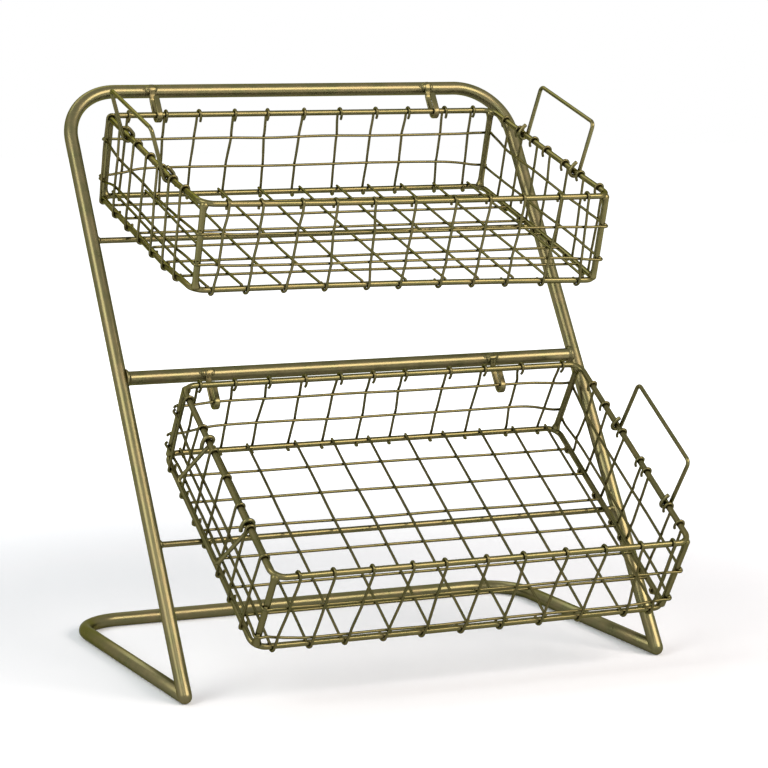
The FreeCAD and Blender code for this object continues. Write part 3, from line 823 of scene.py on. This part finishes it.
def runner_path(length, level, ends, draw):
    """A level wire that leaves the wall round the outside of the post at either end."""
    reach = POST_RADIUS + WIRE_RADIUS
    halves = []
    for drop, slack in ends:
        half = []
        for degrees in RUNNER_TURN:
            angle = math.radians(degrees)
            stand = reach + slack * math.sin(min(math.pi / 2, angle * 2)) + RUNNER_GAP
            half.append((POST_INSET - stand * math.sin(angle), -POST_INSET + stand * math.cos(angle), drop))
        for run in RUNNER_RUN:
            height = drop + (level - drop) * eased(run / RUNNER_RUN[-1]) + wander(draw, RUNNER_WANDER_NEAR)
            half.append((POST_INSET + run * MM, RUNNER_OFFSET, height))
        halves.append(half)
    path = list(halves[0])
    for share in RUNNER_MIDDLE_SHARES:
        path.append((length * share, RUNNER_OFFSET, level + wander(draw, RUNNER_WANDER)))
    return path + [(length - along, out, height) for along, out, height in reversed(halves[1])]


def runner_ends(tier, wall, number, level):
    """How low a runner lies at the posts of its two ends, and how far it stands off them."""
    ends = []
    for corner in WALL_ENDS[wall]:
        drop = -CORNER_DROPS[tier][corner][number] * MM
        if wall == "rear":
            drop = level + (drop - level) * REAR_SETTLE_SHARE[tier]
        ends.append((drop, CORNER_SLACK[corner]))
    return ends


def spot_weld(drop, length, mirror):
    """The place of the small weld that fixes a runner to a post."""
    along = POST_INSET - SPOT_REACH * math.sin(SPOT_TURN)
    out = -POST_INSET + SPOT_REACH * math.cos(SPOT_TURN)
    return length - along if mirror else along, out, drop + SPOT_RISE


def make_wall(basket, wall):
    """The uprights and runners of one wall, and the small welds of the front and rear ones."""
    tier = basket.tier
    node = f"{tier}_basket_{wall}_mesh"
    draw = random.Random(node)
    start, along, out, length = basket.walls()[wall]
    uprights, runners = sort_wires(basket, wall, node)
    if (tier, wall) in ON_THE_BEND:
        uprights[0] = ON_THE_BEND[tier, wall]

    def place(a, o, z):
        return basket.at(start[0] + along[0] * a + out[0] * o, start[1] + along[1] * a + out[1] * o, z)

    mesh = Shape()
    for top, foot in uprights:
        path = [place(*p) for p in upright_path(top, foot, runners, length, wall, draw)]
        mesh.wire(smooth(path, UPRIGHT_STEP), WIRE_RADIUS, WIRE_SIDES)
    for number, level in enumerate(runners):
        level -= SAG.get((tier, wall, number), 0.0)
        ends = runner_ends(tier, wall, number, level)
        path = [place(*p) for p in runner_path(length, level, ends, draw)]
        mesh.wire(smooth(path, RUNNER_STEP), WIRE_RADIUS, WIRE_SIDES)
        if wall in ("front", "rear"):
            axes = (basket.up * SPOT_HALF, ACROSS * SPOT_HALF_WIDTH, basket.back * SPOT_HALF)
            for (drop, _), mirror in zip(ends, (False, True)):
                mesh.lump(place(*spot_weld(drop, length, mirror)), axes, rough=0.12,
                          seed=f"{node} {number} {mirror}", rings=7, sides=12)
    mesh.make(f"{node}_wires", basket.body, "wire_finish", wire_paint_with_painted_shade, node)


def make_floor_mesh(basket):
    """The crossed wires of a basket's floor."""
    node = f"{basket.tier}_basket_floor_mesh"
    draw = random.Random(node)
    mesh = Shape()
    for wire in loose_wires(node):
        local = np.array([basket.inside(point) for point in wire])
        low, high = local.min(0), local.max(0)
        middle = (low + high) / 2
        spread = high - low
        axis = 0 if spread[0] > spread[1] else 1
        path = []
        for i in range(FLOOR_STEPS + 1):
            point = middle.copy()
            point[axis] = low[axis] + spread[axis] * i / FLOOR_STEPS
            if 0 < i < FLOOR_STEPS:
                point[1 - axis] += wander(draw, FLOOR_WANDER)
            path.append(basket.at(*point))
        mesh.wire(smooth(path, FLOOR_STEP), WIRE_RADIUS, WIRE_SIDES)
    mesh.make(f"{node}_wires", basket.body, "wire_finish", wire_paint_with_painted_shade, node)


def make_rim(basket, name, height):
    """One rim, a closed wire."""
    half = basket.width / 2
    corners = [Vector((x, y, height)) for x, y in ((0, 0), (-half, 0), (-half, -BASKET_DEPTH),
                                                   (half, -BASKET_DEPTH), (half, 0), (0, 0))]
    line = divided(rounded(corners, RIM_CORNER, WIRE_BEND_STEP), RIM_STEP)
    path = [basket.at(*point) for point in line]
    rim = Shape()
    rim.wire(path[:-1], RIM_RADIUS, RIM_SIDES, closed=True)
    node = f"{basket.tier}_basket_{name}"
    rim.make(f"{node}_rod", basket.body, "wire_finish", rim_paint_with_painted_highlight, node)


def make_post(basket, name):
    """A corner post, whose ends swell into the rims as welds do."""
    side, rear = CORNERS[name]
    corner_x = side * basket.width / 2
    corner_y = 0.0 if rear > 0 else -BASKET_DEPTH
    run = []
    for drop, swell, shift in POST_WELD:
        run.append((-drop * MM, POST_RADIUS + swell * MM, POST_INSET + shift * MM))
    run += [(-BASKET_HEIGHT - z, radius, inset) for z, radius, inset in reversed(run)]
    path = [basket.at(corner_x - side * inset, corner_y - rear * inset, z) for z, _, inset in run]
    post = Shape()
    post.wire(path, [radius for _, radius, _ in run], POST_SIDES, bulge=POST_BULGE)
    node = f"{basket.tier}_basket_{name}_post"
    post.make(f"{node}_rod", basket.body, "wire_finish", rim_paint_with_painted_highlight, node)


def make_handle(basket, name, side):
    """A bail whose wire ends curl round the side rail."""
    label = f"{basket.tier}_{name}"
    swing = math.radians(HANDLE_SWING[label]) * side
    pivot = Vector(joints[f"{label}_handle_swing"]["pos_m"])
    out = ACROSS * math.cos(swing) - basket.up * math.sin(swing)
    rise = basket.up * math.cos(swing) + ACROSS * math.sin(swing)
    eye = HANDLE_EYE
    half = HANDLE_SPAN / 2

    def place(x, y, z):
        return pivot + out * (side * x) + basket.back * y + rise * z

    def curl(y, lean):
        """From the free end of the tail round the rail to the foot of the leg."""
        points = [place(EYE_TAIL[0] - eye, y + lean, EYE_TAIL[1]),
                  place(-eye * EYE_TAIL_MIDDLE_SHARE, y + lean * EYE_TAIL_LEAN_SHARE, EYE_TAIL_MIDDLE)]
        for degrees in range(EYE_START, 361, EYE_STEP):
            angle = math.radians(degrees)
            shift = lean * (360 - degrees) / EYE_LEAN_TURN
            points.append(place(eye * math.cos(angle), y + shift, eye * math.sin(angle)))
        return smooth(points, UPRIGHT_STEP)

    corners = [place(eye, half, 0), place(eye, half, HANDLE_REACH), place(eye, -half, HANDLE_REACH),
               place(eye, -half, 0)]
    bail = rounded(corners, HANDLE_CORNER, WIRE_BEND_STEP)
    path = curl(half, -EYE_LEAN) + bail[1:-1] + list(reversed(curl(-half, EYE_LEAN)))
    handle = Shape()
    handle.wire(path, HANDLE_RADIUS, HANDLE_SIDES, bulge=HANDLE_BULGE)
    handle.make(f"{label}_handle_wire", f"{label}_handle", "handle_finish", handle_paint, f"{label}_handle")


def make_basket(tier):
    """A whole basket with both handles."""
    basket = Basket(tier)
    make_rim(basket, "top_rim", 0.0)
    make_rim(basket, "bottom_rim", -BASKET_HEIGHT)
    for corner in CORNERS:
        make_post(basket, corner)
    for wall in WALL_ENDS:
        make_wall(basket, wall)
    make_floor_mesh(basket)
    make_handle(basket, "left", -1)
    make_handle(basket, "right", 1)


make_hoop()
make_floor_frame()
make_cross_members()
for tier in ("upper", "lower"):
    make_hook(tier, "left", -1)
    make_hook(tier, "right", 1)
for tier in ("upper", "lower"):
    make_basket(tier)


# Floor, light and camera
LAMP_AIM = Vector((0, 0, 0.2))


def make_floor():
    """A white floor that keeps the soft shadow near the stand and fades into the white behind it."""
    size = 12.0
    below = 0.2 * MM
    near_and_far = (0.35, 1.3)
    lifted = (0.15, 1.0)
    bpy.ops.mesh.primitive_plane_add(size=size, location=(0, 0, -below))
    floor = bpy.context.object
    floor.name = "floor"
    material = bpy.data.materials.new("floor_white")
    material.use_nodes = True
    tree = material.node_tree
    paint = tree.nodes["Principled BSDF"]
    paint.inputs["Base Color"].default_value = (0.80, 0.87, 0.935, 1)
    paint.inputs["Roughness"].default_value = 0.9
    paint.inputs["Specular IOR Level"].default_value = 0.0
    place = tree.nodes.new("ShaderNodeTexCoord")
    far = tree.nodes.new("ShaderNodeVectorMath")
    far.operation = "LENGTH"
    tree.links.new(place.outputs["Object"], far.inputs[0])
    lift = ranged(tree, far.outputs["Value"], near_and_far, lifted, "SMOOTHSTEP")
    glow = add_node(tree, "ShaderNodeEmission", {"Color": (1, 1, 1, 1)})
    tree.links.new(combined(tree, "MULTIPLY", seen_directly(tree), lift), glow.inputs["Strength"])
    both = tree.nodes.new("ShaderNodeAddShader")
    tree.links.new(paint.outputs["BSDF"], both.inputs[0])
    tree.links.new(glow.outputs["Emission"], both.inputs[1])
    tree.links.new(both.outputs["Shader"], tree.nodes["Material Output"].inputs["Surface"])
    floor.data.materials.append(material)


def make_world():
    """White to the eye and in reflections, and a weak even light for the rest."""
    light_and_seen = (0.15, 1.0)
    world = bpy.data.worlds.new("studio")
    bpy.context.scene.world = world
    world.use_nodes = True
    tree = world.node_tree
    background = tree.nodes["Background"]
    background.inputs["Color"].default_value = (1, 1, 1, 1)
    strength = ranged(tree, seen_directly(tree), (0.0, 1.0), light_and_seen)
    tree.links.new(strength, background.inputs["Strength"])


def area_lamp(name, place, size, power, colour=(1, 1, 1)):
    """A rectangular lamp that faces the stand."""
    lamp = bpy.data.lights.new(name, "AREA")
    lamp.shape = "RECTANGLE"
    lamp.size, lamp.size_y = size
    lamp.energy = power
    lamp.color = colour
    holder = bpy.data.objects.new(name, lamp)
    bpy.context.scene.collection.objects.link(holder)
    holder.location = place
    aim = LAMP_AIM - Vector(place)
    holder.rotation_euler = aim.to_track_quat("-Z", "Y").to_euler()


def make_camera():
    """The photograph's viewpoint: a long lens from the front left, a little above the stand."""
    frame_pixels = 768
    focal_pixels = 2897.1
    azimuth, elevation, roll = (math.radians(d) for d in (-24.983, 8.473, 0.642))
    aim = Vector((0.0168, 0.0160, 0.2382))
    distance = 2.6048
    back = Vector((math.sin(azimuth) * math.cos(elevation), -math.cos(azimuth) * math.cos(elevation),
                   math.sin(elevation)))
    right = Vector((math.cos(azimuth), math.sin(azimuth), 0))
    up = back.cross(right)
    turned = right * math.cos(roll) + up * math.sin(roll)
    raised = up * math.cos(roll) - right * math.sin(roll)
    lens = bpy.data.cameras.new("camera")
    lens.sensor_width = 36.0
    lens.lens = focal_pixels * lens.sensor_width / frame_pixels
    lens.clip_start, lens.clip_end = 0.1, 60.0
    camera = bpy.data.objects.new("camera", lens)
    bpy.context.scene.collection.objects.link(camera)
    axes = Matrix((turned, raised, back)).transposed().to_4x4()
    camera.matrix_world = Matrix.Translation(aim + back * distance) @ axes
    bpy.context.scene.camera = camera


make_floor()
make_world()
area_lamp("key_box", place=(1.1, -1.95, 1.55), size=(2.0, 1.2), power=76.0, colour=(1.0, 0.83, 0.74))
area_lamp("leg_box", place=(-2.0, -0.6, 1.5), size=(1.2, 1.6), power=32.0, colour=(1.0, 0.94, 0.86))
area_lamp("front_box", place=(-1.3, -2.8, 2.1), size=(0.9, 0.7), power=10.0)
area_lamp("back_box", place=(-0.3, 1.6, 2.3), size=(2.0, 1.0), power=16.0)
make_camera()
bpy.context.scene.view_settings.view_transform = "Standard"
